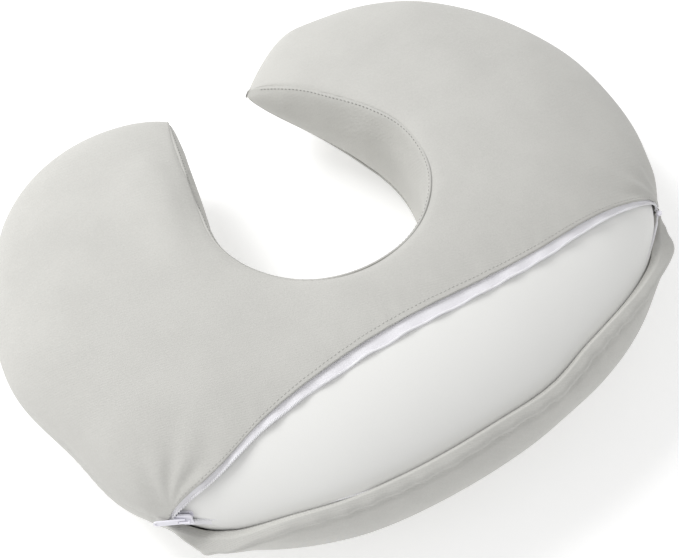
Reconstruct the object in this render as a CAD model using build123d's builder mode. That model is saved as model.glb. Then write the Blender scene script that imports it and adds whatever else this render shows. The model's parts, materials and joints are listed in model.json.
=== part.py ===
"""Nursing pillow: a C-shaped stuffed pillow inside a zipped slipcover, with the zip open at the back.

Millimetres. +Z is up, +Y points to the open mouth of the C and +X to its right arm. The origin is on
the surface that the pillow lies on, under the middle of its box.
"""
import os
from math import asin, atan2, cos, degrees, hypot, pi, radians, sin, sqrt

from build123d import *

# Plan outline of the rim: three tangent arcs a side, from the middle of the back to the arm's tip
back_radius = 480.0
back_half_turn = 13.3
side_radius = 215.0
side_turn = 123.0
lobe_radius = 140.0
lobe_turn = 78.0

# The hole that goes round the waist: one arc, then a gentle arc up each arm to its tip
hole_radius = 89.0
hole_wrap = 108.0
back_width = 165.5

# Heights from the rim seam, at the back, and how they die away towards the tips
rim_height = 70.0
top_wall = 74.0
bottom_wall = 49.0
top_crown = 10.0
swell_power = 1.5
swell_root = 0.55
flat_share = 0.6
sole_from = 0.26
sole_to = 0.58
sole_trim = 0.1

# Cloth thicknesses and the room between the layers
cover_cloth = 1.6
tape_cloth = 0.6
casing_cloth = 0.8
layer_gap = 0.3
casing_rim_room = 11.0
casing_shoulder_room = 9.0

# Stations along each half: 0 is the middle of the back and 1 is the tip
cover_stations = (0.0, 0.12, 0.24, 0.36, 0.48, 0.6, 0.7, 0.8, 0.88, 0.94, 0.98)
casing_stations = (0.0, 0.12, 0.24, 0.36, 0.48, 0.6, 0.7, 0.8, 0.87, 0.92)
fill_stations = (0.0, 0.12, 0.24, 0.36, 0.48, 0.6, 0.7, 0.8, 0.86, 0.9)

# The zip: where its ends and its middle lie on the cover
zip_end_share = 0.355
zip_end_angle = 86.0
zip_middle_angle = 68.0
zip_depth = 4.2
zip_middle_depth = 3.0
tape_width = 9.0
tape_show = 8.0
tape_tuck = 6.0
coil_size = 2.0
coil_offset = 3.0
hem_gap = 5.9
sweep_room = 6.6

# The slider, its arch and its pull tab
slider_length = 12.0
slider_width = 10.8
plate = 1.0
channel = 3.0
guide_width = 0.9
tape_slot = 1.6
wedge_width = 3.0
wedge_length = 5.0
arch_length = 8.4
arch_width = 1.6
arch_foot = 1.2
arch_top = 1.0
pin_diameter = 1.4
pin_room = 0.4
tab_length = 24.0
tab_width = 5.0
tab_arm = 1.2
tab_thickness = 1.2
tab_tip_hole = 1.1
tab_lift = 7.0

# The crimped stops at the zip's ends
stop_length = 4.0
stop_size = 2.6
stop_room = 0.6
tape_end = 2.0

# Sewing threads that lie on the cloth
thread_width = 0.8
thread_height = 0.5
thread_lift = 0.15
seam_margin = 2.5
closing_share = 0.3


def curve_length(bends):
    return sum(abs(radius) * radians(turn) for radius, turn in bends)


def walk(start, heading, bends, share):
    """Point at a share of the way along tangent arcs, each a signed radius and a turn in degrees."""
    left = share * curve_length(bends)
    x, y = start
    for radius, turn in bends:
        length = abs(radius) * radians(turn)
        step = min(left, length)
        after = heading + degrees(step / radius)
        x += radius * (sin(radians(after)) - sin(radians(heading)))
        y -= radius * (cos(radians(after)) - cos(radians(heading)))
        heading = after
        left -= step
    return x, y, heading


rim_bends = [(back_radius, back_half_turn), (side_radius, side_turn), (lobe_radius, lobe_turn)]
lobe_share = 1 - lobe_radius * radians(back_half_turn + side_turn + lobe_turn - 180) / curve_length(rim_bends)
far_y = walk((0, 0), 0, rim_bends, lobe_share)[1]
back_y = -far_y / 2
tip_x, tip_y, tip_heading = walk((0, back_y), 0, rim_bends, 1)

hole_back_y = back_y + back_width
arc_x, arc_y, arm_heading = walk((0, hole_back_y), 0, [(hole_radius, hole_wrap)], 1)
arm_chord = hypot(tip_x - arc_x, tip_y - arc_y)
arm_aim = degrees(atan2(tip_y - arc_y, tip_x - arc_x))
arm_turn = 2 * ((arm_aim - arm_heading + 180) % 360 - 180)
arm_radius = arm_chord / (2 * sin(radians(arm_turn / 2)))
hole_bends = [(hole_radius, hole_wrap), (arm_radius, abs(arm_turn))]


def station(share):
    """Plan points on the hole's edge and on the rim; a negative share is the left half."""
    side = -1 if share < 0 else 1
    inner = walk((0, hole_back_y), 0, hole_bends, abs(share))
    outer = walk((0, back_y), 0, rim_bends, abs(share))
    return Vector(side * inner[0], inner[1]), Vector(side * outer[0], outer[1])


def section_plane(share):
    """Upright plane across the arm: X runs from the hole to the rim and Y runs up from the rim."""
    inner, outer = station(share)
    across = (outer - inner).normalized()
    return Plane(origin=(inner.X, inner.Y, rim_height), x_dir=across, z_dir=across.cross(Vector(0, 0, 1)))


def swell(share):
    return (1 - abs(share) ** swell_power) ** swell_root


def sole_drop(share):
    past = max(0, abs(share) - flat_share) / (1 - flat_share)
    return rim_height * sqrt(1 - past**2)


def shoulder_room(share):
    """The casing stands back most at the zip's two shoulders, where the slider's circle runs deepest."""
    if abs(share) >= zip_end_share:
        return 0
    return casing_shoulder_room * sin(pi * abs(share) / zip_end_share)


def top_point(share, angle, depth, rim_depth):
    """Point of the upper skin in its section: angle 0 is the hole's seam, 90 is the rim."""
    inner, outer = station(share)
    width = (outer - inner).length
    across = depth + (width - depth - rim_depth) * sin(radians(angle))
    up = (top_wall * swell(share) - depth) * cos(radians(angle))
    up += top_crown * swell(share) * sin(radians(2 * angle))
    return across, up


def under_cover(share, angle, depth):
    """Point in space at a depth under the cover's outer face."""
    across, up = top_point(share, angle, depth, depth)
    return section_plane(share).from_local_coords(Vector(across, up))


def both_ways(shares):
    return [-share for share in reversed(shares)] + list(shares[1:])


def top_sheet(shares, depths, rim_depths, angles=(0, 22.5, 45, 67.5, 90)):
    """Upper skin between two depths, lofted through thin sections."""
    cuts = []
    for share in shares:
        extra = shoulder_room(share) if rim_depths[0] >= casing_rim_room else 0
        with BuildSketch(section_plane(share)) as cut:
            with BuildLine():
                outside = Spline(*[top_point(share, a, depths[0], rim_depths[0] + extra) for a in angles])
                inside = Spline(*[top_point(share, a, depths[1], rim_depths[1] + extra) for a in angles])
                Line(outside @ 0, inside @ 0)
                Line(outside @ 1, inside @ 1)
            make_face()
        cuts.append(cut.sketch)
    loft(cuts)


def sole_line(share, depth, rim_depth):
    """Lower skin in its section: down from the hole's seam, along the flat sole and up to the rim."""
    inner, outer = station(share)
    width = (outer - inner).length
    wall = bottom_wall * swell(share) - depth
    drop = sole_drop(share) + sole_trim - depth
    seam = (depth, -wall)
    heel = (sole_from * width, -drop)
    toe = (sole_to * width, -drop)
    rim = (width - rim_depth, 0)
    steep = (wall - drop) / (sole_from * width - depth)
    first = Spline(seam, heel, tangents=((1, 1.6 * steep), (1, 0)))
    Line(heel, toe)
    last = Spline(toe, rim, tangents=((1, 0), (0, 1)))
    return first @ 0, last @ 1


def sole_sheet(shares, depths, rim_depths):
    """Lower skin between two depths, lofted through thin sections with a flat sole."""
    cuts = []
    for share in shares:
        extra = shoulder_room(share) if rim_depths[0] >= casing_rim_room else 0
        with BuildSketch(section_plane(share)) as cut:
            with BuildLine():
                out_seam, out_rim = sole_line(share, depths[0], rim_depths[0] + extra)
                in_seam, in_rim = sole_line(share, depths[1], rim_depths[1] + extra)
                Line(out_seam, in_seam)
                Line(out_rim, in_rim)
            make_face()
        cuts.append(cut.sketch)
    loft(cuts)


def wall_sheet(shares, depths):
    """Upright band round the hole, mitred to the upper and lower skins."""
    cuts = []
    for share in shares:
        high = top_wall * swell(share)
        low = bottom_wall * swell(share)
        with BuildSketch(section_plane(share)) as cut:
            with BuildLine():
                Polyline(
                    (depths[0], high - depths[0]),
                    (depths[0], depths[0] - low),
                    (depths[1], depths[1] - low),
                    (depths[1], high - depths[1]),
                    close=True,
                )
            make_face()
        cuts.append(cut.sketch)
    loft(cuts)


# The zip's circle, through its two ends and its middle, and the frame of a tape at any turn along it
zip_end = under_cover(zip_end_share, zip_end_angle, zip_depth)
zip_middle = under_cover(0, zip_middle_angle, zip_middle_depth)
chord_middle = Vector(0, zip_end.Y, zip_end.Z)
zip_sagitta = (zip_middle - chord_middle).length
zip_radius = (zip_end.X**2 + zip_sagitta**2) / (2 * zip_sagitta)
zip_out = (zip_middle - chord_middle).normalized()
zip_up = Vector(1, 0, 0).cross(zip_out) * -1
zip_centre = zip_middle - zip_out * zip_radius
zip_axis = Axis(zip_centre, zip_up)
zip_half_turn = degrees(asin(zip_end.X / zip_radius))
lip_y = zip_end.Y
zip_plane = Plane(origin=zip_centre, x_dir=(1, 0, 0), z_dir=zip_up)


def tape_plane(turn):
    """Plane on the zip's circle: X along the zip, Y up the tape and Z out of the pillow."""
    outward = zip_out.rotate(Axis((0, 0, 0), zip_up), turn)
    along = zip_up.cross(outward)
    point = zip_centre + outward * zip_radius
    return Plane(origin=point, x_dir=along, z_dir=outward)


def across_plane(turn):
    """Plane square to the zip: X out of the pillow and Y up the tape."""
    at = tape_plane(turn)
    return Plane(origin=at.origin, x_dir=at.z_dir, z_dir=at.z_dir.cross(at.y_dir))


def zip_ring(from_turn, to_turn, low, high, inner, outer):
    """Band round the zip's circle, between two heights up the tape and two heights off it."""
    with BuildSketch(across_plane(from_turn)) as cut:
        with Locations(((inner + outer) / 2, (low + high) / 2)):
            Rectangle(outer - inner, high - low)
    revolve(cut.sketch, axis=zip_axis, revolution_arc=to_turn - from_turn)


def keep_side(plane, offset=0.0):
    """Keep only what lies on the upper side of a plane, moved along its normal."""
    split(bisect_by=plane.offset(offset), keep=Keep.TOP)


# Depths of each layer's two faces under the cover's outer face
cover_depths = (0.0, cover_cloth)
tape_depths = (cover_cloth + 0.1, cover_cloth + 0.1 + tape_cloth)
casing_top = tape_depths[1] + layer_gap
casing_depths = (casing_top, casing_top + casing_cloth)
casing_rims = (casing_rim_room, casing_rim_room + casing_cloth)
fill_depth = casing_depths[1] + layer_gap
fill_rim = casing_rims[1] + layer_gap

lip_back = Plane(origin=(0, lip_y, 0), x_dir=(1, 0, 0), z_dir=(0, 1, 0))
lip_front = Plane(origin=(0, lip_y, 0), x_dir=(1, 0, 0), z_dir=(0, -1, 0))
below_zip = Plane(origin=zip_centre, x_dir=(1, 0, 0), z_dir=zip_up * -1)

# Fibre fill: one stuffed body, the inner pillow's inside
with BuildPart() as fibre_fill:
    for share in both_ways(fill_stations):
        rim = fill_rim + shoulder_room(share)
        with BuildSketch(section_plane(share)):
            with BuildLine():
                upper = Spline(*[top_point(share, a, fill_depth, rim) for a in (0, 22.5, 45, 67.5, 90)])
                seam, edge = sole_line(share, fill_depth, rim)
                Line(upper @ 0, seam)
            make_face()
    loft()

# Inner pillow's casing: two panels and the band round the hole
with BuildPart() as casing_top_panel:
    top_sheet(both_ways(casing_stations), casing_depths, casing_rims)

with BuildPart() as casing_bottom_panel:
    sole_sheet(both_ways(casing_stations), casing_depths, casing_rims)

with BuildPart() as casing_wall_band:
    wall_sheet(both_ways(casing_stations), casing_depths)

# Cover: the top panel ends at the upper lip, the bottom panel wraps up the back to the lower lip
with BuildPart() as cover_top_panel:
    top_sheet(both_ways(cover_stations), cover_depths, cover_depths)
    keep_side(lip_back)

with BuildPart() as back_wrap:
    top_sheet(both_ways(cover_stations[:5]), cover_depths, cover_depths)
    keep_side(lip_front, layer_gap)
    keep_side(below_zip, hem_gap)

with BuildPart() as cover_bottom_panel:
    sole_sheet(both_ways(cover_stations), cover_depths, cover_depths)
    keep_side(Plane.XY)
    add(back_wrap.part)

with BuildPart() as cover_wall_band:
    wall_sheet(both_ways(cover_stations), cover_depths)

# Upper tape, tucked under the top panel's lip, and the coil along its free edge
with BuildPart() as upper_zip_tape:
    top_sheet(both_ways(cover_stations[:5]), tape_depths, tape_depths)
    keep_side(lip_back, -tape_show)
    keep_side(lip_front, -tape_tuck)
    keep_side(zip_plane, sweep_room)

with BuildPart() as upper_zip_coil:
    top_sheet(both_ways(cover_stations[:5]), (tape_depths[1] - coil_size, tape_depths[1]), (0.4, 2.4))
    keep_side(lip_back, -tape_show - coil_size)
    keep_side(lip_front, tape_show)
    keep_side(zip_plane, sweep_room + stop_length)


def along_zip(length):
    """Turn round the zip's circle, in degrees, of a length of zip."""
    return degrees(length / zip_radius)


# Lower tape and coil, on the circle that the slider runs on
stop_end = zip_half_turn - along_zip(tape_end)
coil_end = stop_end - along_zip(stop_length)
coil_foot = -coil_offset - coil_size / 2
with BuildPart() as lower_zip_tape:
    zip_ring(-zip_half_turn, zip_half_turn, -tape_width, coil_foot, -tape_cloth / 2, tape_cloth / 2)

with BuildPart() as lower_zip_coil:
    zip_ring(-coil_end, coil_end, coil_foot, coil_foot + coil_size, -coil_size / 2, coil_size / 2)

# Stops: one crimp across both coils where the zip starts, and one on each coil where it ends
with BuildPart() as bottom_stop:
    zip_ring(-stop_end, -coil_end, coil_foot, -coil_foot, -stop_size / 2, stop_size / 2)

with BuildPart() as upper_end_stop:
    top_sheet(both_ways(cover_stations[:5]), (0.2, tape_depths[1]), (0.2, tape_depths[1]))
    keep_side(lip_back, -tape_show - stop_size)
    keep_side(lip_front, tape_show)
    keep_side(zip_plane, sweep_room)
    keep_side(below_zip, -sweep_room - stop_length)
    keep_side(Plane.YZ)

with BuildPart() as top_stops:
    add(upper_end_stop.part)
    zip_ring(coil_end, stop_end, coil_foot, coil_foot + stop_size, -stop_size / 2, stop_size / 2)

# Threads that show: along both seams of the cover's wall band, beside each lip of the zip, and the
# seam that closed the casing once it was stuffed
with BuildPart() as wall_seam_threads:
    for height, sign in ((top_wall, 1), (bottom_wall, -1)):
        cuts = []
        for share in both_ways(cover_stations):
            line = sign * (height * swell(share) - seam_margin)
            with BuildSketch(section_plane(share), mode=Mode.PRIVATE) as cut:
                with Locations((-thread_height / 2 - thread_lift, line)):
                    Rectangle(thread_height, thread_width)
            cuts.append(cut.sketch)
        loft(cuts)

with BuildPart() as upper_lip_thread:
    top_sheet(both_ways(cover_stations[:5]), (-thread_height, 0), (-thread_height, 0))
    keep_side(lip_back, seam_margin)
    keep_side(lip_front, -seam_margin - thread_width)

with BuildPart() as lower_lip_thread:
    top_sheet(both_ways(cover_stations[:5]), (-thread_height, 0), (-thread_height, 0))
    keep_side(lip_front, layer_gap)
    keep_side(below_zip, hem_gap + seam_margin)
    keep_side(zip_plane, -hem_gap - seam_margin - thread_width)

with BuildPart() as casing_closing_thread:
    cuts = []
    for share in (0.0, closing_share / 2, closing_share):
        with BuildSketch(section_plane(share), mode=Mode.PRIVATE) as cut:
            with Locations((casing_top - thread_height / 2, 0)):
                Rectangle(thread_height, thread_width)
        cuts.append(cut.sketch)
    loft(cuts)

# Slider: two plates and their guides round the coils, the wedge that parts them, and the arch
slider_start = tape_end + stop_length + stop_room + slider_length / 2
slider_turn = along_zip(slider_start) - zip_half_turn
slider_at = tape_plane(slider_turn)
plate_top = channel / 2 + plate
pin_height = plate_top + pin_room + pin_diameter / 2
arch_height = pin_height + pin_diameter / 2 + pin_room + arch_top
guide_height = (channel - tape_slot) / 2
with BuildPart() as slider_body:
    for face in (-1, 1):
        with BuildSketch(slider_at.offset(face * channel / 2)):
            RectangleRounded(slider_length, slider_width, guide_width * 2)
        extrude(amount=face * plate)
        with BuildSketch(slider_at.offset(face * channel / 2)):
            with GridLocations(0, slider_width - guide_width, 1, 2):
                Rectangle(slider_length - 4 * guide_width, guide_width)
        extrude(amount=-face * guide_height)
    with BuildSketch(slider_at.offset(-channel / 2)):
        with Locations((slider_length / 2 - wedge_length, 0)):
            Rectangle(wedge_length - guide_width, wedge_width, align=(Align.MIN, Align.CENTER))
    extrude(amount=channel)
    with BuildSketch(Plane(origin=slider_at.origin, x_dir=slider_at.x_dir, z_dir=slider_at.y_dir * -1)):
        with Locations((0, plate_top)):
            Rectangle(arch_length, arch_height - plate_top, align=(Align.CENTER, Align.MIN))
            Rectangle(
                arch_length - 2 * arch_foot,
                arch_height - plate_top - arch_top,
                align=(Align.CENTER, Align.MIN),
                mode=Mode.SUBTRACT,
            )
    extrude(amount=arch_width / 2, both=True)

# Pull tab: a cross pin held under the arch, two arms beside it and the grip
pin_at = slider_at.origin + slider_at.z_dir * pin_height
tab_way = slider_at.x_dir * -cos(radians(tab_lift)) + slider_at.z_dir * sin(radians(tab_lift))
tab_at = Plane(origin=pin_at, x_dir=tab_way, z_dir=tab_way.cross(slider_at.y_dir) * -1)
tab_eye = hypot(arch_length / 2, arch_height - pin_height) + stop_room
with BuildPart() as pull_tab:
    with BuildSketch(tab_at.offset(-tab_thickness / 2)):
        Rectangle(tab_length - tab_width / 2, tab_width, align=(Align.MIN, Align.CENTER))
        with Locations((tab_length - tab_width / 2, 0)):
            Circle(tab_width / 2)
        Rectangle(tab_eye, tab_width - 2 * tab_arm, align=(Align.MIN, Align.CENTER), mode=Mode.SUBTRACT)
        with Locations((tab_length - tab_width / 2, 0)):
            Circle(tab_tip_hole, mode=Mode.SUBTRACT)
    extrude(amount=tab_thickness)
    with BuildSketch(Plane(origin=pin_at, x_dir=slider_at.x_dir, z_dir=slider_at.y_dir)):
        Circle(pin_diameter / 2)
    extrude(amount=tab_width / 2, both=True)

pieces = {
    "fibre_fill": fibre_fill,
    "casing_top_panel": casing_top_panel,
    "casing_bottom_panel": casing_bottom_panel,
    "casing_wall_band": casing_wall_band,
    "casing_closing_thread": casing_closing_thread,
    "cover_top_panel": cover_top_panel,
    "cover_bottom_panel": cover_bottom_panel,
    "cover_wall_band": cover_wall_band,
    "wall_seam_threads": wall_seam_threads,
    "upper_lip_thread": upper_lip_thread,
    "lower_lip_thread": lower_lip_thread,
    "upper_zip_tape": upper_zip_tape,
    "lower_zip_tape": lower_zip_tape,
    "upper_zip_coil": upper_zip_coil,
    "lower_zip_coil": lower_zip_coil,
    "bottom_stop": bottom_stop,
    "top_stops": top_stops,
    "slider_body": slider_body,
    "pull_tab": pull_tab,
}
os.makedirs("parts", exist_ok=True)
for name, piece in pieces.items():
    piece.part.label = name
    export_step(piece.part, f"parts/{name}.step")

print("slider axis through", zip_centre, "along", zip_up)
print("slider travel in degrees", round(-2 * slider_turn, 2))
print("tab pin at", pin_at, "along", slider_at.y_dir)
sole_inner, sole_outer = station(0.5)
print("a point of the resting face", sole_inner + (sole_outer - sole_inner) * (sole_from + sole_to) / 2)
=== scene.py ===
"""Nursing pillow: a C-shaped stuffed pillow in a zipped slipcover, with the zip open along the back."""
import json
from math import atan2, cos, degrees, exp, hypot, pi, radians, sin

import bmesh
import bpy
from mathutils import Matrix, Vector, noise


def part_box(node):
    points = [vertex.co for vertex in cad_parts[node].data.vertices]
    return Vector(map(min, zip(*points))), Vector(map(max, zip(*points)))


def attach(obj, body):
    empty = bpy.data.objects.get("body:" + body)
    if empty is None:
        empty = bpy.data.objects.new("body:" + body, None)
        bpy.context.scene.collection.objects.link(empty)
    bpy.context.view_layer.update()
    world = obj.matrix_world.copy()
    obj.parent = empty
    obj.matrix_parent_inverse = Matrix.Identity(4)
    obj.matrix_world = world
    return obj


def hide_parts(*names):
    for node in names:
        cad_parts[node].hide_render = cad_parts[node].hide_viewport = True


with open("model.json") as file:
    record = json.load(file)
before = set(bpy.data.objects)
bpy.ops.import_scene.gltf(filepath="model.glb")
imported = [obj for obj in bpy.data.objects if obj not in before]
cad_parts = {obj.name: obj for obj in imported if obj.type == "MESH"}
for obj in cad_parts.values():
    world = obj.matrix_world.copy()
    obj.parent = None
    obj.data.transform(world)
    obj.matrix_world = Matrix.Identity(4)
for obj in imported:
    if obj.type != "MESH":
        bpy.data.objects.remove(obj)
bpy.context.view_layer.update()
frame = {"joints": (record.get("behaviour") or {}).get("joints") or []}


# ---------------------------------------------------------------------------------------------------
# Inner pillow: a closed C-shaped casing of smooth off-white cloth, stuffed tight with fibre.
# Its outline is tangent arcs from the middle of the back to each tip; both skins swell between the
# rim and the band round the hole. It is what shows in the open zip. Metres, and degrees for turns.
# ---------------------------------------------------------------------------------------------------
back_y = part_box("cover_bottom_panel")[0][1]
rim_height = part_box("cover_top_panel")[0][2]
back_bend = (0.479, 13.3)
right_bends = [back_bend, (0.2145, 123.6), (0.1446, 78.2)]
left_bends = [back_bend, (0.2227, 122.4), (0.1350, 78.6)]
hole_radius = 0.089
right_hole_turn = 110.2
left_hole_turn = 105.8
hole_back_y = back_y + 0.1654
right_top_wall = 0.0755
left_top_wall = 0.0724
bottom_wall = 0.0493
top_crown = 0.0124
sole_crown = 0.0367
full_width = 0.15
section_power = 2 / 1.77
swell_power = 1.51
swell_root = 0.53
lean = -0.01
even_share = 0.3
# A place is where a feature lies and how wide it is: in shares along the pillow, or in degrees or
# metres across it.
tip_fullness = 0.012
tip_place = (0.93, 0.045)
side_pull = 0.011
side_place = (-0.48, 0.063)


def walk(start, heading, bends, share):
    """Point at a share of the way along tangent arcs, each a signed radius and a turn in degrees."""
    left = share * sum(abs(radius) * radians(turn) for radius, turn in bends)
    x, y = start
    for radius, turn in bends:
        step = min(left, abs(radius) * radians(turn))
        after = heading + degrees(step / radius)
        x += radius * (sin(radians(after)) - sin(radians(heading)))
        y -= radius * (cos(radians(after)) - cos(radians(heading)))
        heading = after
        left -= step
    return x, y, heading


def hole_bends(bends, hole_turn):
    """The hole's arc, then the gentle arc that ends at the arm's tip."""
    tip_x, tip_y, _ = walk((0, back_y), 0, bends, 1)
    arc_x, arc_y, heading = walk((0, hole_back_y), 0, [(hole_radius, hole_turn)], 1)
    aim = degrees(atan2(tip_y - arc_y, tip_x - arc_x))
    turn = 2 * (aim - heading)
    radius = hypot(tip_x - arc_x, tip_y - arc_y) / (2 * sin(radians(turn / 2)))
    return [(hole_radius, hole_turn), (radius, abs(turn))]


half_shapes = {
    1: (right_bends, hole_bends(right_bends, right_hole_turn), right_top_wall),
    -1: (left_bends, hole_bends(left_bends, left_hole_turn), left_top_wall),
}


def hump(at, centre, width):
    """A smooth hump: one at its centre, almost nothing two widths away."""
    return exp(-(((at - centre) / width) ** 2))


known_sections = {}


def section(share):
    """Plan points of the rim and the hole, width, swell, crown and wall height at a share."""
    if share not in known_sections:
        side = -1 if share < 0 else 1
        bends, inner_bends, top_wall = half_shapes[side]
        outer = Vector(walk((0, back_y), 0, bends, abs(share))[:2])
        inner = Vector(walk((0, hole_back_y), 0, inner_bends, abs(share))[:2])
        push = tip_fullness * hump(share, *tip_place) - side_pull * hump(share, *side_place)
        outer += (outer - inner).normalized() * push
        width = (outer - inner).length
        swell = max(0.0, 1 - abs(share) ** swell_power) ** swell_root
        mix = min(1, abs(share) / even_share)
        own_part = mix * mix * (3 - 2 * mix) / 2 + 0.5
        top_wall = top_wall * own_part + half_shapes[-side][2] * (1 - own_part)
        known_sections[share] = side, outer, inner, width, swell, min(1, width / full_width), top_wall
    return known_sections[share]


def skin(share, angle, depth=0.0, rim_depth=None):
    """Point of the pillow's skin: share runs from the left tip (-1) over the back (0) to the right
    tip (1); angle runs from the hole's upper seam (0) over the rim (90) to its lower seam (180)."""
    rim_depth = depth if rim_depth is None else rim_depth
    side, outer, inner, width, swell, crown, top_wall = section(share)
    turn = radians(angle)
    up = abs(cos(turn)) ** section_power
    out = sin(turn) ** section_power
    double = abs(2 * sin(turn) * cos(turn))
    if angle <= 90:
        height = (top_wall * swell - depth) * up + top_crown * crown * double
    else:
        height = -(bottom_wall * swell - depth) * up - sole_crown * crown * double
        height = max(height, depth - rim_height)
    if width > 1e-6:
        inner = inner + (outer - inner) / width * (depth + max(0.0, width - depth - rim_depth) * out)
    x = side * inner.x + lean * (inner.y - back_y)
    return Vector((x, inner.y, rim_height + height))


def between(points, at):
    """Value of a smooth curve through a few (place, value) points."""
    slopes = [(b[1] - a[1]) / (b[0] - a[0]) for a, b in zip(points, points[1:])]
    leans = [slopes[0]] + [(one + two) / 2 for one, two in zip(slopes, slopes[1:])] + [slopes[-1]]
    at = min(max(at, points[0][0]), points[-1][0])
    for number in range(len(points) - 1):
        (start, low), (end, high) = points[number:number + 2]
        if at <= end:
            break
    gap = end - start
    part = (at - start) / gap
    rest = 1 - part
    ends = rest * rest * (1 + 2 * part) * low + part * part * (3 - 2 * part) * high
    return ends + gap * part * rest * (rest * leans[number] - part * leans[number + 1])


def spread(stops):
    """Stations from a list of (end, step) stretches that starts at the first end."""
    places = [stops[0][0]]
    for end, step in stops[1:]:
        count = max(1, round((end - places[-1]) / step))
        start = places[-1]
        places += [start + (end - start) * (number + 1) / count for number in range(count)]
    return places


def cloth_grid(name, shares, rows, place):
    """A sheet of quads, one column a station and one row a step across, laid on the pillow by
    place(share, part); its UV map keeps (share, part)."""
    shape = bmesh.new()
    bmesh.ops.create_grid(shape, x_segments=len(shares) - 1, y_segments=rows, size=0.5)
    map_layer = shape.loops.layers.uv.new("cloth")
    spots = {}
    for point in shape.verts:
        column = round((point.co.x + 0.5) * (len(shares) - 1))
        spots[point] = (shares[column], point.co.y + 0.5)
    for face in shape.faces:
        for corner in face.loops:
            corner[map_layer].uv = spots[corner.vert]
    for point, (share, part) in spots.items():
        point.co = place(share, part)
    return finish_mesh(name, shape)


def finish_mesh(name, shape, smooth=True):
    """Merge, turn the faces outwards and make the object at the origin."""
    bmesh.ops.remove_doubles(shape, verts=shape.verts, dist=1e-5)
    bmesh.ops.recalc_face_normals(shape, faces=shape.faces)
    mesh = bpy.data.meshes.new(name)
    shape.to_mesh(mesh)
    shape.free()
    for face in mesh.polygons:
        face.use_smooth = smooth
    piece = bpy.data.objects.new(name, mesh)
    bpy.context.collection.objects.link(piece)
    return piece


casing_depth = 0.0030
casing_rim_depth = 0.0105
casing_rows = 80
casing_skin_part = 0.8
far_corner_room = 0.0030
far_corner_place = (0.335, 0.04)
casing_stations = spread([
    (-0.985, 0), (-0.37, 0.008), (-0.25, 0.003), (0.25, 0.007), (0.37, 0.003), (0.985, 0.008),
])


def casing_point(share, part):
    """The casing's skin from the hole over the rim, then its wall band back up round the hole."""
    if part <= casing_skin_part:
        rim_depth = casing_rim_depth - far_corner_room * hump(share, *far_corner_place)
        return skin(share, 180 * part / casing_skin_part, casing_depth, rim_depth)
    low = skin(share, 180, casing_depth, casing_rim_depth)
    high = skin(share, 0, casing_depth, casing_rim_depth)
    return low.lerp(high, (part - casing_skin_part) / (1 - casing_skin_part))


inner_pillow = cloth_grid("inner_pillow", casing_stations, casing_rows, casing_point)


def close_ends(piece):
    """Close the open rings at the two tips."""
    shape = bmesh.new()
    shape.from_mesh(piece.data)
    bmesh.ops.holes_fill(shape, edges=[edge for edge in shape.edges if edge.is_boundary])
    bmesh.ops.recalc_face_normals(shape, faces=shape.faces)
    for face in shape.faces:
        face.smooth = True
    shape.to_mesh(piece.data)
    shape.free()


def material(name, colour, roughness, sheen=0.0):
    """A new principled material of one colour."""
    made = bpy.data.materials.new(name)
    made.use_nodes = True
    shader = made.node_tree.nodes["Principled BSDF"]
    shader.inputs["Base Color"].default_value = (*colour, 1)
    shader.inputs["Roughness"].default_value = roughness
    shader.inputs["Sheen Weight"].default_value = sheen
    shader.inputs["Sheen Roughness"].default_value = 0.5
    return made


def feed(made, node, inputs):
    """Set a node's inputs: a number stays a number, and an output of another node is linked."""
    for socket, value in inputs.items():
        if isinstance(value, bpy.types.NodeSocket):
            made.node_tree.links.new(value, node.inputs[socket])
        else:
            node.inputs[socket].default_value = value


def pattern(made, kind, inputs, **settings):
    """A new node of a material's pattern, set and fed."""
    node = made.node_tree.nodes.new("ShaderNode" + kind)
    for setting, value in settings.items():
        setattr(node, setting, value)
    feed(made, node, inputs)
    return node


def add_weave(made, colour, contrast, threads, relief, mottle):
    """Soft colour variation and the relief of a weave with that many threads a metre."""
    place = pattern(made, "TexCoord", {}).outputs["Object"]
    cloud = pattern(made, "TexNoise", {"Scale": mottle, "Detail": 3, "Vector": place}).outputs["Fac"]
    fuzz = pattern(made, "TexNoise", {"Scale": threads * 0.6, "Detail": 2, "Vector": place}).outputs["Fac"]
    blend = pattern(made, "Math", {0: cloud, 1: fuzz}, operation="ADD").outputs[0]
    half = pattern(made, "Math", {0: blend, 1: 0.5}, operation="MULTIPLY").outputs[0]
    ramp = pattern(made, "ValToRGB", {"Fac": half})
    dark, light = ramp.color_ramp.elements
    dark.position, light.position = 0.38, 0.62
    dark.color = (*[part * (1 - contrast) for part in colour], 1)
    light.color = (*[min(1, part * (1 + contrast)) for part in colour], 1)
    ribs = pattern(
        made, "TexWave",
        {"Scale": threads / 4, "Distortion": 1.5, "Detail": 1, "Detail Scale": 2, "Vector": place},
        bands_direction="DIAGONAL",
    )
    both = pattern(made, "Math", {0: ribs.outputs["Fac"], 1: fuzz}, operation="ADD").outputs[0]
    bump = pattern(made, "Bump", {"Strength": relief, "Distance": 0.0006, "Height": both})
    shader = made.node_tree.nodes["Principled BSDF"]
    feed(made, shader, {"Base Color": ramp.outputs["Color"], "Normal": bump.outputs["Normal"]})


close_ends(inner_pillow)
casing_white = (0.89, 0.89, 0.87)
casing_cloth = material("casing_cloth", casing_white, 0.75, 0.15)
add_weave(casing_cloth, casing_white, contrast=0.012, threads=2200, relief=0.12, mottle=12)
inner_pillow.data.materials.append(casing_cloth)
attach(inner_pillow, "pillow")
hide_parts("fibre_fill", "casing_top_panel", "casing_bottom_panel", "casing_wall_band")
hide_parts("casing_closing_thread")


# ---------------------------------------------------------------------------------------------------
# Cover's top panel: light grey soft cotton cloth, cut as a C and sewn to the wall band round the hole and
# to the bottom panel at the rim. Over the back it stops at the upper lip of the zip, turned under.
# ---------------------------------------------------------------------------------------------------
zip_end_share = 0.357
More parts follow.
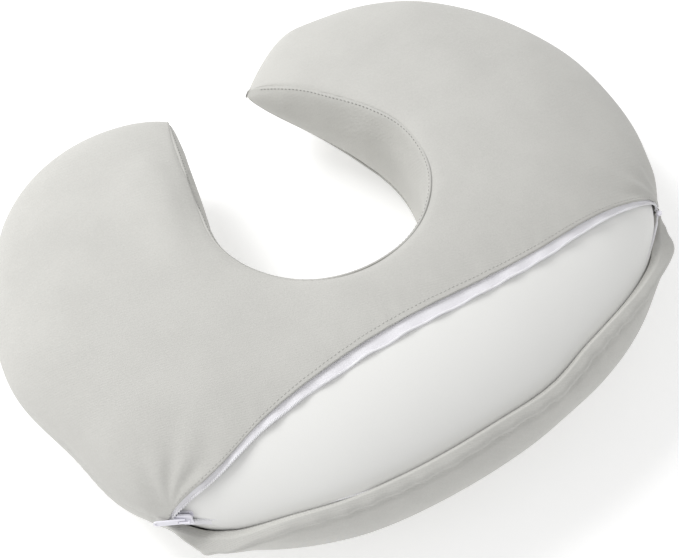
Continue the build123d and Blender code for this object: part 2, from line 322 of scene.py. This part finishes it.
# The upper lip's line in plan: x and y from left to right.
upper_lip = [
    (-0.235, -0.1075), (-0.19, -0.1070), (-0.145, -0.0995), (-0.09, -0.0960), (-0.03, -0.0965),
    (0.05, -0.1030), (0.10, -0.1045), (0.17, -0.1015), (0.24, -0.1035),
]
first_lip_angle = 5.0
lip_end_share = 0.012
cloth_thick = 0.0016
seam_dip = 0.0016
rim_seam_band = 5
wall_seam_band = 2.5
gather_height = 0.0012
gather_place = (0.42, 0.08)
gather_pitch = 0.0125
uneven_height = 0.0012
panel_uneven_size = 0.055
zip_corners = [Vector((-0.236, -0.108, 0)), Vector((0.241, -0.106, 0))]
pull_limit = 0.14
pull_reach = 0.045
pull_start = 0.03
pull_height = 0.0018
pulls_round_corner = 11
caught_depth = 0.0026
caught_width = 0.026
lip_ripple = 0.0002
lip_ripple_band = 9
left_arm_fullness = 0.0085
left_arm_place = (-0.66, 0.17)
left_arm_off_hole = (0.034, 0.022)
known_lip_angles = {}


def from_zip_end(share, length):
    """Nought at the zip's ends, rising to one at this length inside them."""
    return min(1, (zip_end_share - abs(share)) / length)


def lip_angle(share):
    """Angle at which the top panel's edge crosses this section; the rim where the zip is closed."""
    if abs(share) >= zip_end_share:
        return 90.0
    if share not in known_lip_angles:
        low, high = first_lip_angle, 90.0
        for _ in range(22):
            middle = (low + high) / 2
            spot = skin(share, middle)
            if spot.y > between(upper_lip, spot.x):
                low = middle
            else:
                high = middle
        closing = 1 - from_zip_end(share, lip_end_share)
        known_lip_angles[share] = low + (90 - low) * closing * closing
    return known_lip_angles[share]


def soft_folds(spot, size):
    """Slow unevenness of stuffed cloth."""
    return noise.noise(spot / size) * uneven_height


def ripple(spot, length, wander, size):
    """Waves of about this length along x, wandering by slow noise of this size."""
    return sin(spot.x * 2 * pi / length + wander * noise.noise(spot / size))


def corner_pulls(spot):
    """Little folds that run out from each end of the zip, where the cloth is caught."""
    lift = 0.0
    for corner in zip_corners:
        away = spot.x - corner.x, spot.y - corner.y
        reach = hypot(*away)
        if reach < pull_limit:
            turn = atan2(away[1], away[0])
            strength = hump(reach, 0, pull_reach) * min(1, (reach / pull_start) ** 2)
            lift += pull_height * strength * sin(pulls_round_corner * turn + 4 * noise.noise(spot / 0.05))
            lift -= caught_depth * hump(reach, 0, caught_width)
    return lift


def rim_seam(share, angle):
    """How far the rim's seam pulls the cloth in, with small gathers beside both ends of the zip."""
    gathers = gather_height * hump(abs(share), *gather_place) * sin(share * 2 * pi / gather_pitch)
    return hump(angle, 90, rim_seam_band) * (seam_dip - gathers)


def top_cloth_point(share, part):
    """The top panel from the hole's seam to the rim, or to the zip's upper lip."""
    edge = lip_angle(share)
    angle = edge * part
    spot = skin(share, angle)
    depth = -soft_folds(spot, panel_uneven_size) - corner_pulls(spot)
    if edge < 90:
        depth -= lip_ripple * hump(angle, edge, lip_ripple_band) * ripple(spot, 0.019, 4, 0.03)
    else:
        depth += rim_seam(share, angle)
    depth += seam_dip * hump(angle, 0, wall_seam_band)
    from_hole = (spot - skin(share, 0)).length
    depth -= left_arm_fullness * hump(share, *left_arm_place) * hump(from_hole, *left_arm_off_hole)
    return skin(share, angle, depth)


cover_stations = spread([
    (-1, 0), (-0.37, 0.006), (-0.25, 0.0015), (0.25, 0.004), (0.37, 0.0015), (1, 0.006),
])
cover_top_rows = 60
cover_top = cloth_grid("cover_top", cover_stations, cover_top_rows, top_cloth_point)


def outwards(piece):
    """Turn an open sheet's faces away from the core of the arm that it lies on."""
    map_layer = piece.data.uv_layers["cloth"].data
    agree = 0
    for face in list(piece.data.polygons)[::37]:
        share = map_layer[face.loop_start].uv.x
        ring = [skin(share, angle) for angle in (0, 45, 90, 135, 180)]
        core = sum(ring, Vector()) / len(ring)
        agree += face.normal.dot(face.center - core) * face.area
    if agree < 0:
        piece.data.flip_normals()


def thicken(piece, thickness):
    """Cloth has two faces: the second one lies under the first."""
    outwards(piece)
    wall = piece.modifiers.new("cloth", "SOLIDIFY")
    wall.thickness = thickness
    wall.offset = -1
    wall.use_even_offset = False


thicken(cover_top, cloth_thick)
cover_grey = (0.580, 0.575, 0.547)
cover_cloth = material("cover_cloth", cover_grey, 0.9, 0.1)
add_weave(cover_cloth, cover_grey, contrast=0.035, threads=1300, relief=0.3, mottle=25)
cover_top.data.materials.append(cover_cloth)
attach(cover_top, "pillow")
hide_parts("cover_top_panel")


# ---------------------------------------------------------------------------------------------------
# Cover's bottom panel: the same cloth, lying flat where the pillow rests. At the back it wraps up over
# the rim to the lower lip of the zip, where it is folded in and topstitched as a hem.
# ---------------------------------------------------------------------------------------------------
# The lower lip's line: share along the pillow and angle round its section, from left to right.
lower_lip = [
    (-0.357, 90), (-0.345, 91), (-0.32, 95), (-0.295, 90), (-0.26, 80), (-0.23, 74.5), (-0.18, 71),
    (-0.1, 68.5), (0, 67.5), (0.08, 69.5), (0.14, 67), (0.19, 69), (0.25, 76.5), (0.29, 85),
    (0.328, 93), (0.357, 91.5),
]
cover_bottom_rows = 92
hem_share = 0.86
hem_swell = 0.0021
hem_swell_place = (2.2, 1.8)
hem_crease = 4.6
crease_depth = 0.0020
crease_width = 0.8
lip_stand = 0.0015
lip_stand_width = 12
hem_ripple = 0.0007
hem_ripple_width = 8
right_slack = 0.008
right_slack_place = (0.315, 0.035)
left_slack = 0.006
left_slack_place = (-0.305, 0.04)
slack_band = (2, 20)
dart_share = -0.318
dart_slant = 0.00045
dart_depth = 0.0030
dart_width = 0.0013
dart_ridge = 0.0016
dart_ridge_place = (0.0035, 0.0025)
dart_band = (9, 5)
left_outline = 0.772
floor_gap = 0.002
floor_fade = 0.025
turn_in_part = 0.6
least_turn_in = 0.0024
casing_gap = 0.0015
crest_part = 0.45
crest_angle = 1.1
tuck_fall = 2.2


def hem_room(share, angle):
    """Metres from the cover's face to the inner pillow under the lip."""
    return (skin(share, angle) - skin(share, angle, casing_depth, casing_rim_depth)).length


def lip_relief(share, off, spot):
    """How far the cloth stands out near the lower lip, this many degrees off its edge."""
    fade = from_zip_end(share, 0.05)
    swell = hem_swell * hump(off, *hem_swell_place) + lip_stand * hump(off, 0, lip_stand_width)
    crease = crease_depth * hump(off, hem_crease, crease_width)
    waves = hem_ripple * hump(off, 0, hem_ripple_width) * ripple(spot, 0.023, 5, 0.04)
    slack = right_slack * hump(share, *right_slack_place) + left_slack * hump(share, *left_slack_place)
    slack *= from_zip_end(share, 0.02) * hump(off, *slack_band)
    beside = (share - dart_share) * left_outline - dart_slant * off
    dart = dart_ridge * hump(beside, *dart_ridge_place) - dart_depth * hump(beside, 0, dart_width)
    return fade * (swell - crease + waves) + slack + hump(off, *dart_band) * dart


def bottom_cloth_point(share, part):
    """The sole and the wrap up to the rim or to the lower lip, then the hem turned in behind it."""
    zipped = abs(share) < zip_end_share
    edge = between(lower_lip, share) if zipped else 90.0
    angle = 180 + (edge - 180) * min(1, part / hem_share)
    spot = skin(share, angle)
    off_floor = min(1, max(0, (spot.z - floor_gap) / floor_fade))
    depth = -off_floor * (soft_folds(spot, panel_uneven_size) + corner_pulls(spot))
    if not zipped:
        tuck = 0.002 * max(0, part / hem_share - 1)
        return skin(share, angle, depth + rim_seam(share, angle) + tuck)
    depth -= lip_relief(share, angle - edge, spot)
    if part <= hem_share:
        return skin(share, angle, depth)
    turned = (part - hem_share) / (1 - hem_share)
    inwards = max(least_turn_in, hem_room(share, edge) - casing_gap)
    if turned < turn_in_part:
        inwards *= 1 - cos(turned / turn_in_part * pi / 2)
    if turned < crest_part:
        crest = sin(turned / crest_part * pi)
    else:
        crest = -tuck_fall * (turned - crest_part) / (1 - crest_part)
    closed = from_zip_end(share, lip_end_share)
    return skin(share, edge - closed * crest_angle * crest, depth + closed * (inwards - depth))


cover_bottom = cloth_grid("cover_bottom", cover_stations, cover_bottom_rows, bottom_cloth_point)
thicken(cover_bottom, cloth_thick)
cover_bottom.data.materials.append(cover_cloth)
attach(cover_bottom, "pillow")
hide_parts("cover_bottom_panel")


# ---------------------------------------------------------------------------------------------------
# Cover's wall band: a strip of the same cloth that stands round the hole and tapers to a point at
# each tip. It is sewn to the top and bottom panels and topstitched along both seams.
# ---------------------------------------------------------------------------------------------------
wall_rows = 24
wall_bulge = 0.007
bulge_of_height = 0.14
back_bulge = 0.35
seam_reach = 0.004
wall_uneven_size = 0.04


def wall_cloth_point(share, part):
    """The strip's outer face, which bulges between its two seams, and more along the arms."""
    low = skin(share, 180)
    high = skin(share, 0)
    spot = low.lerp(high, part)
    inward = (skin(share, 90) - low).normalized()
    inward.z = 0
    height = (high - low).length
    arm = min(1, max(0, (abs(share) - 0.35) / 0.25))
    bulge = min(wall_bulge, bulge_of_height * height) * (back_bulge + (1 - back_bulge) * arm)
    bulge *= sin(pi * part) ** 0.8
    dip = seam_dip * (hump(part * height, 0, seam_reach) + hump((1 - part) * height, 0, seam_reach))
    return spot - inward * (bulge - dip + soft_folds(spot, wall_uneven_size))


wall_stations = spread([(-1, 0), (1, 0.006)])
cover_wall = cloth_grid("cover_wall", wall_stations, wall_rows, wall_cloth_point)
thicken(cover_wall, cloth_thick)
cover_wall.data.materials.append(cover_cloth)
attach(cover_wall, "pillow")
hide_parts("cover_wall_band")


# ---------------------------------------------------------------------------------------------------
# Upper zip tape and coil: a white woven tape sewn under the turned edge of the top panel, with a
# nylon coil sewn along its free edge. Open, it lies on the inner pillow in gentle waves.
# ---------------------------------------------------------------------------------------------------
tape_tuck = 0.006
tape_show = 0.0100
tape_thick = 0.0006
tape_depth = 0.0022
tape_wave = 0.0009
tape_sway = 0.0011


def angle_off(share, angle, metres, depth):
    """Angle that lies this far along the skin from another angle, on the same section."""
    step = (skin(share, angle + 1, depth) - skin(share, angle, depth)).length
    return angle + metres / max(step, 1e-5)


def upper_tape_point(share, part):
    """The tape from its tucked edge to its free edge, which waves a little."""
    across = -tape_tuck + (tape_tuck + tape_show) * part
    angle = angle_off(share, lip_angle(share), across, 0.001)
    shown = max(0.0, across / tape_show)
    spot = skin(share, angle, tape_depth + 0.0001)
    wave = shown * (tape_wave * ripple(spot, 0.031, 2, 0.05) - 0.0004)
    sway = shown * tape_sway * noise.noise(Vector((spot.x / 0.024, 3, 0)))
    sink = max(0.0, -corner_pulls(spot))
    return skin(share, angle_off(share, angle, sway, 0.001), tape_depth - wave + sink)


tape_end_share = zip_end_share - 0.004
zip_stations = spread([(-tape_end_share, 0), (tape_end_share, 0.0012)])
upper_tape_rows = 12
upper_tape = cloth_grid("upper_tape", zip_stations, upper_tape_rows, upper_tape_point)
thicken(upper_tape, tape_thick)
tape_white = (0.94, 0.93, 0.97)
tape_cloth = material("zip_tape_cloth", tape_white, 0.7, 0.2)
add_weave(tape_cloth, tape_white, contrast=0.03, threads=2600, relief=0.4, mottle=60)
upper_tape.data.materials.append(tape_cloth)
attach(upper_tape, "pillow")
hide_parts("upper_zip_tape")
lip_spots = [skin(share, lip_angle(share)) for share in zip_stations]
tape_length = sum((after - spot).length for spot, after in zip(lip_spots, lip_spots[1:]))

coil_pitch = 0.0013
coil_radius = 0.0007
coil_wire = 0.00048
coil_flatness = 0.75
coil_lift = 0.0009
coil_place = 0.93


def coil(name, line, length, out):
    """A flattened spiral of nylon along a line, sewn on its tape."""
    turns = int(length / coil_pitch)
    shape = bmesh.new()
    bmesh.ops.create_grid(shape, x_segments=turns * 8, y_segments=4, size=0.5)
    for point in shape.verts:
        along = point.co.x + 0.5
        round_wire = (point.co.y + 0.5) * 2 * pi
        ahead = (line(min(1, along + 1e-3)) - line(max(0, along - 1e-3))).normalized()
        up = out(along).normalized()
        beside = ahead.cross(up).normalized()
        turn = along * turns * 2 * pi
        arm = beside * cos(turn) + up * sin(turn) * coil_flatness
        point.co = line(along) + arm * (coil_radius + coil_wire * cos(round_wire))
        point.co += ahead * coil_wire * sin(round_wire)
    bmesh.ops.remove_doubles(shape, verts=shape.verts, dist=1e-6)
    bmesh.ops.holes_fill(shape, edges=[edge for edge in shape.edges if edge.is_boundary])
    return finish_mesh(name, shape)


def zip_share(along):
    """The pillow's share at a part of the way along the upper half of the zip."""
    return zip_stations[0] + (zip_stations[-1] - zip_stations[0]) * along


def upper_coil_out(along):
    """Direction off the pillow at the upper lip."""
    share = zip_share(along)
    edge = lip_angle(share)
    across = skin(share, edge + 1) - skin(share, edge - 1)
    ahead = skin(share + 0.002, edge) - skin(share - 0.002, edge)
    out = across.cross(ahead).normalized()
    return out if out.dot(skin(share, edge) - skin(share, edge, 0.01)) > 0 else -out


def upper_coil_line(along):
    """Middle of the coil, which lies on the tape beside its free edge."""
    return upper_tape_point(zip_share(along), coil_place) + upper_coil_out(along) * coil_lift


upper_coil = coil("upper_coil", upper_coil_line, tape_length, upper_coil_out)
coil_white = (0.93, 0.93, 0.95)
coil_nylon = material("coil_nylon", coil_white, 0.35)
add_weave(coil_nylon, coil_white, contrast=0.03, threads=1500, relief=0.1, mottle=200)
upper_coil.data.materials.append(coil_nylon)
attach(upper_coil, "pillow")
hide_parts("upper_zip_coil")


# ---------------------------------------------------------------------------------------------------
# Lower zip tape and coil: the other half of the zip, sewn behind the lower lip. It keeps to the one
# circle that the slider runs on, so it is the straighter of the two halves.
# ---------------------------------------------------------------------------------------------------
zip_joint = next(joint for joint in frame["joints"] if joint["name"] == "slider_travel")
zip_centre = Vector(zip_joint["pos_m"])
zip_up = Vector(zip_joint["axis"])
zip_out = Vector((0, -zip_up.z, zip_up.y))
zip_radius = 0.34147
zip_half_turn = 43.52
tape_half_turn = zip_half_turn - 1.6
coil_half_turn = zip_half_turn - 1.2
coil_down = 0.003
tape_down = 0.0035
free_tape = 0.0055


def zip_spot(turn, down, lift=0.0):
    """Point on the zip's circle: degrees from its middle, metres down the tape and metres outwards."""
    reach = zip_out * cos(radians(turn)) + Vector((1, 0, 0)) * sin(radians(turn))
    return zip_centre + reach * (zip_radius + lift) - zip_up * down


def lower_tape_point(turn, part):
    """The tape's free half, from beside the coil down behind the lip."""
    return zip_spot(turn, tape_down + free_tape * part)


def lower_coil_line(along):
    """Middle of the lower coil."""
    return zip_spot((2 * along - 1) * coil_half_turn, coil_down)


def lower_coil_out(along):
    """Direction away from the circle's middle."""
    return zip_spot((2 * along - 1) * coil_half_turn, 0, 1) - zip_centre


lower_stations = spread([(-tape_half_turn, 0), (tape_half_turn, 0.4)])
lower_tape_rows = 8
lower_tape = cloth_grid("lower_tape", lower_stations, lower_tape_rows, lower_tape_point)
wall = lower_tape.modifiers.new("cloth", "SOLIDIFY")
wall.thickness = tape_thick
wall.offset = 0
lower_tape.data.materials.append(tape_cloth)
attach(lower_tape, "pillow")
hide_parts("lower_zip_tape")

coil_length = zip_radius * radians(2 * coil_half_turn)
lower_coil = coil("lower_coil", lower_coil_line, coil_length, lower_coil_out)
lower_coil.data.materials.append(coil_nylon)
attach(lower_coil, "pillow")
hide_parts("lower_zip_coil")


# ---------------------------------------------------------------------------------------------------
# Sewing: polyester lockstitch in the cloth's greys, under four millimetres a stitch, along both edges
# of the wall band, along the turned edge of the top panel and along the hem of the lower lip.
# ---------------------------------------------------------------------------------------------------
stitch_length = 0.0024
stitch_step = 0.0036
stitch_width = 0.00045
stitch_proud = 0.0001


def stitches(name, line, colour_of, replaced):
    """A row of beads sunk in the cloth, along the points of a line and their outward directions."""
    shape = bmesh.new()
    travelled = 0.0
    due = 0.0
    for (spot, out), (after, _) in zip(line, line[1:]):
        gap = (after - spot).length
        while due <= travelled + gap and gap > 1e-7:
            ahead = (after - spot).normalized()
            beside = out.cross(ahead).normalized()
            upright = ahead.cross(beside)
            place = spot + ahead * (due - travelled)
            made = bmesh.ops.create_icosphere(shape, subdivisions=1, radius=1)["verts"]
            for point in made:
                shift = point.co.copy()
                point.co = (
                    place + ahead * shift.x * stitch_length / 2
                    + beside * shift.y * stitch_width + upright * shift.z * stitch_width * 0.8
                )
            due += stitch_step
        travelled += gap
    piece = finish_mesh(name, shape)
    piece.data.materials.append(colour_of)
    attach(piece, "pillow")
    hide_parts(*replaced)
    return piece


thread_grey = (0.22, 0.22, 0.20)
cover_thread = material("cover_thread", thread_grey, 0.6, 0.2)
add_weave(cover_thread, thread_grey, contrast=0.08, threads=1800, relief=0.2, mottle=300)


def row(shares, part_at, place, out_at):
    """Points of a sewn line on one of the sheets, lifted a little off its cloth."""
    line = []
    for share in shares:
        out = out_at(share)
        line.append((place(share, part_at(share)) + out * stitch_proud, out))
    return line


def wall_out(share):
    """The wall band's outward side faces the hole."""
    out = skin(share, 180) - skin(share, 90)
    out.z = 0
    return out.normalized()


wall_seam_off = 0.0018
wall_row_shares = spread([(-0.96, 0), (0.96, 0.003)])


def wall_row_part(share):
    """Part of the band's height between a seam and the stitches beside it."""
    return wall_seam_off / max(0.012, (skin(share, 180) - skin(share, 0)).length)


upper_row = row(wall_row_shares, lambda share: 1 - wall_row_part(share), wall_cloth_point, wall_out)
stitches("wall_stitches", upper_row, cover_thread, ["wall_seam_threads"])
lower_row = row(wall_row_shares, wall_row_part, wall_cloth_point, wall_out)
stitches("lower_wall_stitches", lower_row, cover_thread, ["wall_seam_threads"])

lip_seam_off = 0.0045
lip_row_end = zip_end_share - 0.006
lip_row_shares = spread([(-lip_row_end, 0), (lip_row_end, 0.002)])


def lip_out(share, angle):
    """Direction off the pillow at a lip."""
    return (skin(share, angle) - skin(share, angle, 0.01)).normalized()


lip_row = row(
    lip_row_shares,
    lambda share: angle_off(share, lip_angle(share), -lip_seam_off, 0) / lip_angle(share),
    top_cloth_point,
    lambda share: lip_out(share, lip_angle(share)),
)
lip_thread_grey = (0.56, 0.555, 0.53)
lip_thread = material("lip_thread", cover_grey, 0.7, 0.2)
add_weave(lip_thread, lip_thread_grey, contrast=0.06, threads=1800, relief=0.2, mottle=300)
stitches("upper_lip_stitches", lip_row, lip_thread, ["upper_lip_thread"])
hem_row = row(
    lip_row_shares,
    lambda share: hem_share * (1 - hem_crease / (180 - between(lower_lip, share))),
    bottom_cloth_point,
    lambda share: lip_out(share, between(lower_lip, share)),
)
stitches("lower_lip_stitches", hem_row, lip_thread, ["lower_lip_thread"])


# ---------------------------------------------------------------------------------------------------
# Slider, pull tab and stops: small die-cast zip parts, enamelled white. The enamel is a little less
# glossy where hands have rubbed it.
# ---------------------------------------------------------------------------------------------------
enamel_white = (0.84, 0.83, 0.90)
zip_enamel = material("zip_enamel", enamel_white, 0.3)
enamel_place = pattern(zip_enamel, "TexCoord", {}).outputs["Object"]
wear = pattern(zip_enamel, "TexNoise", {"Scale": 900, "Vector": enamel_place})
gloss = pattern(zip_enamel, "MapRange", {"Value": wear.outputs["Fac"], "To Min": 0.25, "To Max": 0.42})
enamel_shader = zip_enamel.node_tree.nodes["Principled BSDF"]
feed(zip_enamel, enamel_shader, {"Coat Weight": 0.4, "Roughness": gloss.outputs["Result"]})
for node_name in ("slider_body", "pull_tab", "bottom_stop", "top_stops"):
    for place in bpy.data.objects[node_name].material_slots:
        place.material = zip_enamel


# ---------------------------------------------------------------------------------------------------
# Studio: a white floor, a pale room and large soft lights; the camera looks down over the back.
# ---------------------------------------------------------------------------------------------------
floor_shape = bmesh.new()
bmesh.ops.create_grid(floor_shape, x_segments=1, y_segments=1, size=6)
floor = finish_mesh("floor", floor_shape, smooth=False)
floor_paint = material("floor_paint", (0.95, 0.95, 0.95), 0.9)
floor_shader = floor_paint.node_tree.nodes["Principled BSDF"]
floor_shader.inputs["Emission Color"].default_value = (1, 1, 1, 1)
floor_shader.inputs["Emission Strength"].default_value = 0.3
floor.data.materials.append(floor_paint)
for point in floor.data.vertices:
    point.co.z = -0.0004

room = bpy.data.worlds.new("room")
bpy.context.scene.world = room
room.use_nodes = True
room.node_tree.nodes["Background"].inputs["Color"].default_value = (1, 1, 1, 1)
room.node_tree.nodes["Background"].inputs["Strength"].default_value = 0.64
bpy.context.scene.view_settings.view_transform = "Standard"


def soft_light(name, place, aim, size, power):
    """A square light at a place, turned towards a point."""
    lamp = bpy.data.lights.new(name, "AREA")
    lamp.size = size
    lamp.energy = power
    stand = bpy.data.objects.new(name, lamp)
    bpy.context.collection.objects.link(stand)
    stand.location = place
    stand.rotation_euler = (Vector(aim) - Vector(place)).to_track_quat("-Z", "Y").to_euler()


soft_light("key_light", (-0.7, 1.5, 1.9), (0, 0, 0.05), 1.0, 33)
soft_light("side_light", (-2.1, 0.5, 0.9), (0.1, 0.05, 0.08), 0.9, 4)

lens_back = Vector((-0.2766, -0.3982, 0.8746))
camera_aim = Vector((-0.0117, -0.00296, 0.0596))
camera_distance = 1.40489
camera_data = bpy.data.cameras.new("camera")
camera_data.lens = 92.18
camera_data.sensor_width = 36
camera = bpy.data.objects.new("camera", camera_data)
bpy.context.collection.objects.link(camera)
camera.location = camera_aim + lens_back * camera_distance
camera.rotation_euler = (-lens_back).to_track_quat("-Z", "Y").to_euler()
bpy.context.scene.camera = camera
